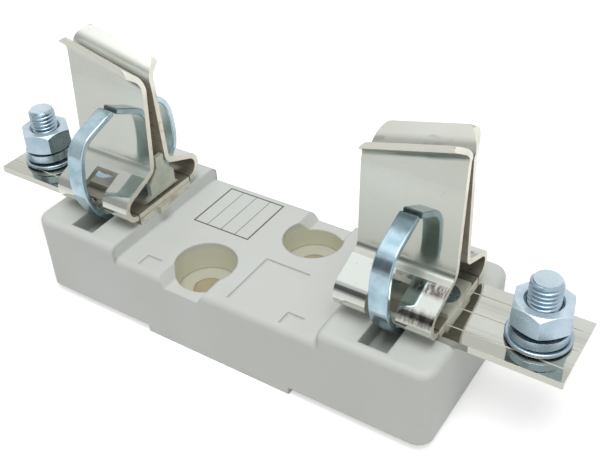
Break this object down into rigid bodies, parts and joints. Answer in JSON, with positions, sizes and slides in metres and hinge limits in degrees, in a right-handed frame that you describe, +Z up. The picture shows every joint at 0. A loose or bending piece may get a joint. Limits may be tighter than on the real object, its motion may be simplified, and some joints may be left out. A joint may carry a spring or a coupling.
{
  "type": "knife blade fuse base",
  "caption": "Open fuse base: a moulded block with two spring-loaded lyre contacts for a knife blade fuse link and bolted terminal strips at both ends.",
  "frame": {"origin": "centre of the foot's underside, which is the lowest face of the base", "axes": "+X along the base from one terminal to the other, +Z up out of the mounting surface"},
  "size_m": [0.2256, 0.06, 0.0958],
  "materials": {
    "moulding": "satin moulded",
    "contact_sheet": "bright plated copper sheet",
    "terminal_strip": "bright plated copper bar",
    "spring_steel": "blue zinc plated spring steel",
    "keeper_steel": "zinc plated sheet",
    "terminal_hardware": "blue zinc plated",
    "fixing_steel": "zinc plated"
  },
  "bodies": {
    "base": {"base_moulding": "moulding", "left_terminal_strip": "terminal_strip", "left_terminal_stud": "terminal_hardware", "left_contact_foot": "contact_sheet", "left_keeper": "keeper_steel", "left_inner_fixing_screw": "fixing_steel", "left_inner_fixing_nut": "fixing_steel", "left_outer_fixing_screw": "fixing_steel", "left_outer_fixing_nut": "fixing_steel", "right_terminal_strip": "terminal_strip", "right_terminal_stud": "terminal_hardware", "right_contact_foot": "contact_sheet", "right_keeper": "keeper_steel", "right_inner_fixing_screw": "fixing_steel", "right_inner_fixing_nut": "fixing_steel", "right_outer_fixing_screw": "fixing_steel", "right_outer_fixing_nut": "fixing_steel"},
    "left_front_leaf": {"left_front_leaf": "contact_sheet"},
    "left_front_ring_half": {"left_front_ring_half": "spring_steel"},
    "left_rear_leaf": {"left_rear_leaf": "contact_sheet"},
    "left_rear_ring_half": {"left_rear_ring_half": "spring_steel"},
    "left_washers": {"left_flat_washer": "terminal_hardware", "left_spring_washer": "terminal_hardware"},
    "left_terminal_nut": {"left_terminal_nut": "terminal_hardware"},
    "right_front_leaf": {"right_front_leaf": "contact_sheet"},
    "right_front_ring_half": {"right_front_ring_half": "spring_steel"},
    "right_rear_leaf": {"right_rear_leaf": "contact_sheet"},
    "right_rear_ring_half": {"right_rear_ring_half": "spring_steel"},
    "right_washers": {"right_flat_washer": "terminal_hardware", "right_spring_washer": "terminal_hardware"},
    "right_terminal_nut": {"right_terminal_nut": "terminal_hardware"}
  },
  "joints": [
    {"name": "left_front_leaf_spread", "type": "hinge", "parent": "base", "child": "left_front_leaf", "pos_m": [0, -0.0147, 0.0413], "axis": [1, 0, 0], "range_deg": [0, 3.2], "stiffness_Nm_per_rad": 4},
    {"name": "left_front_ring_half_spread", "type": "hinge", "parent": "base", "child": "left_front_ring_half", "pos_m": [0, 0, 0.0276], "axis": [1, 0, 0], "range_deg": [0, 2.3], "stiffness_Nm_per_rad": 1},
    {"name": "left_rear_leaf_spread", "type": "hinge", "parent": "base", "child": "left_rear_leaf", "pos_m": [0, 0.0147, 0.0413], "axis": [1, 0, 0], "range_deg": [-3.2, 0], "stiffness_Nm_per_rad": 4},
    {"name": "left_rear_ring_half_spread", "type": "hinge", "parent": "base", "child": "left_rear_ring_half", "pos_m": [0, 0, 0.0276], "axis": [1, 0, 0], "range_deg": [-2.3, 0], "stiffness_Nm_per_rad": 1},
    {"name": "left_washers_lift", "type": "slide", "parent": "base", "child": "left_washers", "axis": [0, 0, 1], "range_m": [0, 0.0075]},
    {"name": "left_nut_turn", "type": "hinge", "parent": "left_washers", "child": "left_terminal_nut", "pos_m": [-0.1, 0, 0.0463], "axis": [0, 0, 1], "range_deg": [0, 1801]},
    {"name": "right_front_leaf_spread", "type": "hinge", "parent": "base", "child": "right_front_leaf", "pos_m": [0, -0.0147, 0.0413], "axis": [1, 0, 0], "range_deg": [0, 3.2], "stiffness_Nm_per_rad": 4},
    {"name": "right_front_ring_half_spread", "type": "hinge", "parent": "base", "child": "right_front_ring_half", "pos_m": [0, 0, 0.0276], "axis": [1, 0, 0], "range_deg": [0, 2.3], "stiffness_Nm_per_rad": 1},
    {"name": "right_rear_leaf_spread", "type": "hinge", "parent": "base", "child": "right_rear_leaf", "pos_m": [0, 0.0147, 0.0413], "axis": [1, 0, 0], "range_deg": [-3.2, 0], "stiffness_Nm_per_rad": 4},
    {"name": "right_rear_ring_half_spread", "type": "hinge", "parent": "base", "child": "right_rear_ring_half", "pos_m": [0, 0, 0.0276], "axis": [1, 0, 0], "range_deg": [-2.3, 0], "stiffness_Nm_per_rad": 1},
    {"name": "right_washers_lift", "type": "slide", "parent": "base", "child": "right_washers", "axis": [0, 0, 1], "range_m": [0, 0.0075]},
    {"name": "right_nut_turn", "type": "hinge", "parent": "right_washers", "child": "right_terminal_nut", "pos_m": [0.1, 0, 0.0463], "axis": [0, 0, 1], "range_deg": [0, 1801]}
  ],
  "couplings": [
    {"joint": "left_rear_leaf_spread", "follows": "left_front_leaf_spread", "ratio": -1},
    {"joint": "left_front_ring_half_spread", "follows": "left_front_leaf_spread", "ratio": 0.7},
    {"joint": "left_rear_ring_half_spread", "follows": "left_front_leaf_spread", "ratio": -0.7},
    {"joint": "left_nut_turn", "follows": "left_washers_lift", "rad_per_m": 4188.8},
    {"joint": "right_rear_leaf_spread", "follows": "right_front_leaf_spread", "ratio": -1},
    {"joint": "right_front_ring_half_spread", "follows": "right_front_leaf_spread", "ratio": 0.7},
    {"joint": "right_rear_ring_half_spread", "follows": "right_front_leaf_spread", "ratio": -0.7},
    {"joint": "right_nut_turn", "follows": "right_washers_lift", "rad_per_m": 4188.8}
  ]
}
